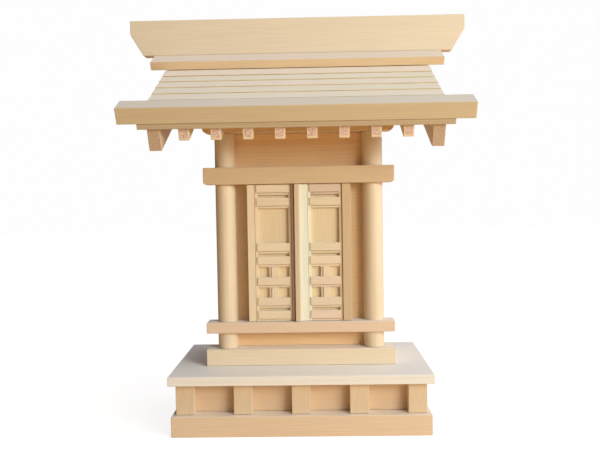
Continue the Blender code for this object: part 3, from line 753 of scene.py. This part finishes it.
def make_post(node):
    """A round post, turned smooth, in the place of its packed one."""
    low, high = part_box(node)
    radius = (high.x - low.x) / 2
    post = turn_rod("round_" + node, (low + high) / 2, radius, high.z - low.z, POST_SIDES)
    ease(post, POST_EASE, 3, turned=True)
    wear(post, CREAM, "Z", (0.5, 1, 0), "cabinet", 0.0, POST_LIGHT)
    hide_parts(node)


# Roof

def ridge_line():
    """The middle of the line where the decks' undersides meet."""
    cap_low, cap_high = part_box("ridge_cap")
    deck_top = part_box("roof_deck_front")[1].z
    return Vector((0.0, (cap_low.y + cap_high.y) / 2, deck_top - DECK_THICKNESS / math.cos(SLOPE)))


RIDGE = ridge_line()


def reach_along(node, way):
    """The least and greatest distance from the ridge, along a way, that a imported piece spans."""
    places = [(vertex.co - RIDGE).dot(way) for vertex in frame["nodes"][node].data.vertices]
    return min(places), max(places)


def make_back_roof():
    """The back deck and its eight small rafters, cut apart along the deck's underside."""
    deck = copy_node("roof_deck_back", "back_deck")
    rafters = copy_node("roof_deck_back", "back_rafters")
    start_shaping(deck)
    score(RIDGE, OUT_BACK, use_fill=True, clear_inner=True)
    stop_shaping()
    wear(deck, ROOF, "X", (0, 0.6, 1))
    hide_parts("roof_deck_back")
    start_shaping(rafters)
    score(RIDGE - OUT_BACK * GLUE_GAP, OUT_BACK, use_fill=True, clear_outer=True)
    bpy.ops.mesh.separate(type="LOOSE")
    stop_shaping()
    singles = sorted(bpy.context.selected_objects, key=lambda piece: middle_of(piece).x)
    for number, rafter in enumerate(singles, 1):
        rafter.name = "rafter_back_%d" % number
        wear(rafter, PALE, "back_slope", (1, 0.5, 1))


def cut_shingle(name, half_width, butt, length, thickness, seed):
    """A level board from its butt towards the ridge, with the butt's line slightly uneven."""
    corner = (half_width, butt.y + length, butt.z)
    board = cut_block(name, (-half_width, butt.y, butt.z - thickness), corner)

    def runs_across(edge):
        ends = [board.data.vertices[i].co for i in edge.vertices]
        return abs(ends[0].x - ends[1].x) > abs(length)

    def in_butt(vertex):
        return abs(vertex.co.y - butt.y) < NEAR and abs(vertex.co.x) < half_width - NEAR

    start_shaping(board)
    pick_all()
    bpy.ops.mesh.normals_make_consistent(inside=False)
    pick(board, "EDGE", runs_across)
    bpy.ops.mesh.subdivide(number_cuts=SHINGLE_CUTS)
    pick(board, "VERT", in_butt)
    bpy.ops.transform.vertex_random(offset=SHINGLE_WANDER, uniform=0.0, normal=0.0, seed=seed)
    stop_shaping()
    return board


def make_shingles(label, down, out, count):
    """Thin boards in lapped courses on a bed board, the highest one flat and twice as thick."""
    node = "shingles_" + label
    half_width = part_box(node)[1].x
    top = reach_along(node, out)[1]
    end = reach_along(node, down)[1]
    start = reach_along("ridge_board_" + label, down)[1]
    course = (end - start) / count

    bed = copy_node(node, "shingle_bed_" + label)
    start_shaping(bed)
    bed_top = top - 2 * SHINGLE_STEP - GLUE_GAP
    score(RIDGE + out * bed_top, out, use_fill=True, clear_outer=True)
    stop_shaping()
    wear(bed, ROOF, "X", (0, 0.6, 1))
    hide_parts(node)

    side = -1 if down.y < 0 else 1
    for i in range(count):
        butt = RIDGE + down * (end - i * course) + out * top
        highest = i == count - 1
        tilt = 0.0 if highest else math.atan(SHINGLE_STEP / course)
        length = course + (SHINGLE_LAP if i < count - 2 else 0.0)
        thickness = (2 if highest else 1) * SHINGLE_STEP
        name = "shingle_%s_%d" % (label, i + 1)
        board = cut_shingle(name, half_width, butt, -side * length, thickness, FIRST_SEED + i)

        def under_butt(vertex):
            place = vertex.co - butt
            return place.dot(down) > -course / 2 and place.dot(out) < -SHINGLE_STEP / 2

        start_shaping(board)
        pick_all()
        turn = side * (SLOPE - tilt)
        bpy.ops.transform.rotate(value=turn, orient_axis="X", center_override=butt)
        pick(board, "VERT", under_butt)
        bpy.ops.transform.translate(value=-down * SHINGLE_UNDERCUT)
        stop_shaping()
        ease(board, SOFT_EDGE / 2, 1)
        blush, light = SHINGLE_LOOKS[i]
        wear(board, SHINGLE, "X", (0, 0.8, 1), "cabinet", blush, light)


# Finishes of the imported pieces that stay

def finish_node(name, tones, grain, heart, blush, light):
    low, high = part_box(name)
    reach = None
    if name.startswith("rafter_front_"):
        inner, outer = reach_along(name, OUT_FRONT)
        reach = ((high.x - low.x) / 2, (outer - inner) / 2)
    material = cypress(name, tones, grain, (low + high) / 2, heart, blush, light, reach)
    frame["nodes"][name].material_slots[0].material = material


def finish_packed_pieces():
    for name, node in frame["nodes"].items():
        if not node.hide_render:
            wood = next(row for row in PACKED_WOOD if name.startswith(row[0]))
            finish_node(name, *wood[1:])


# Studio

def lay_floor():
    """A wide sheet of white paper: bright for the camera, warm and dimmer for the shrine."""
    pick_no_object()
    bpy.ops.mesh.primitive_plane_add(size=FLOOR_WIDTH, location=(0, 0, 0))
    floor = bpy.context.object
    floor.name = "floor"
    paper = bpy.data.materials.new("white_paper")
    paper.use_nodes = True
    tree = paper.node_tree
    shader = tree.nodes["Principled BSDF"]
    seen = add_node(tree, "ShaderNodeLightPath").outputs["Is Camera Ray"]
    tree.links.new(mix_colours(tree, seen, FLOOR_BOUNCE, FLOOR_SEEN), shader.inputs["Base Color"])
    glow = work_out(tree, "MULTIPLY", seen, FLOOR_GLOW)
    tree.links.new(glow, shader.inputs["Emission Strength"])
    shader.inputs["Emission Color"].default_value = (1.0, 1.0, 1.0, 1.0)
    shader.inputs["Roughness"].default_value = FLOOR_ROUGHNESS
    floor.data.materials.append(paper)


def aim_camera():
    forward = Vector((
        math.sin(CAMERA_YAW) * math.cos(CAMERA_PITCH),
        math.cos(CAMERA_YAW) * math.cos(CAMERA_PITCH),
        math.sin(CAMERA_PITCH),
    ))
    level = Vector((math.cos(CAMERA_YAW), -math.sin(CAMERA_YAW), 0.0))
    upright = level.cross(forward)
    right = math.cos(CAMERA_ROLL) * level + math.sin(CAMERA_ROLL) * upright
    up = math.cos(CAMERA_ROLL) * upright - math.sin(CAMERA_ROLL) * level
    turn = Matrix((right, up, -forward)).transposed()
    camera = bpy.data.objects.new("camera", bpy.data.cameras.new("camera"))
    bpy.context.scene.collection.objects.link(camera)
    camera.matrix_world = Matrix.Translation(CAMERA_PLACE) @ turn.to_4x4()
    camera.data.sensor_width = SENSOR_WIDTH
    camera.data.lens = FOCAL_PIXELS * SENSOR_WIDTH / FRAME_WIDTH
    camera.data.clip_start = NEAREST_SEEN
    bpy.context.scene.camera = camera


def add_window():
    """A soft light, so wide and so high, that faces the middle of the shrine."""
    lamp = bpy.data.lights.new("key_window", "AREA")
    lamp.shape = "RECTANGLE"
    lamp.size, lamp.size_y = KEY_SIZE
    lamp.energy = KEY_POWER
    lamp.color = KEY_COLOUR
    window = bpy.data.objects.new("key_window", lamp)
    bpy.context.scene.collection.objects.link(window)
    window.location = KEY_PLACE
    towards = Vector(SHRINE_MIDDLE) - Vector(KEY_PLACE)
    window.rotation_euler = towards.to_track_quat("-Z", "Y").to_euler()
    window.visible_camera = False


def light_room():
    """A white backdrop for the camera, and a dimmer room of a few wide glows for the shrine."""
    bpy.context.scene.view_settings.view_transform = "Standard"
    world = bpy.data.worlds.new("studio")
    bpy.context.scene.world = world
    world.use_nodes = True
    tree = world.node_tree
    direction = add_node(tree, "ShaderNodeTexCoord").outputs["Generated"]
    room = (0.0, 0.0, 0.0)
    for towards, narrow, colour in ROOM_GLOWS:
        way = Vector(towards).normalized()
        facing = work_out_vector(tree, "DOT_PRODUCT", direction, way).outputs["Value"]
        glow = work_out(tree, "POWER", work_out(tree, "MAXIMUM", facing, 0.0), narrow)
        room = work_out_vector(tree, "MULTIPLY_ADD", colour, glow, room).outputs["Vector"]
    seen = add_node(tree, "ShaderNodeLightPath").outputs["Is Camera Ray"]
    tree.links.new(mix_colours(tree, seen, room, BACKDROP), tree.nodes["Background"].inputs["Color"])


make_leaf("left", LEFT_OUTER_STILE, LEFT_INNER_STILE, -1, LEFT_STILES, LEFT_RAILS)
make_leaf("right", RIGHT_INNER_STILE, RIGHT_OUTER_STILE, 1, RIGHT_STILES, RIGHT_RAILS)
make_strip()
for row in ("front", "back"):
    for side in ("left", "right"):
        make_post("post_%s_%s" % (row, side))
make_back_roof()
make_shingles("front", DOWN_FRONT, OUT_FRONT, FRONT_COURSES)
make_shingles("back", DOWN_BACK, OUT_BACK, BACK_COURSES)
finish_packed_pieces()
lay_floor()
aim_camera()
light_room()
add_window()
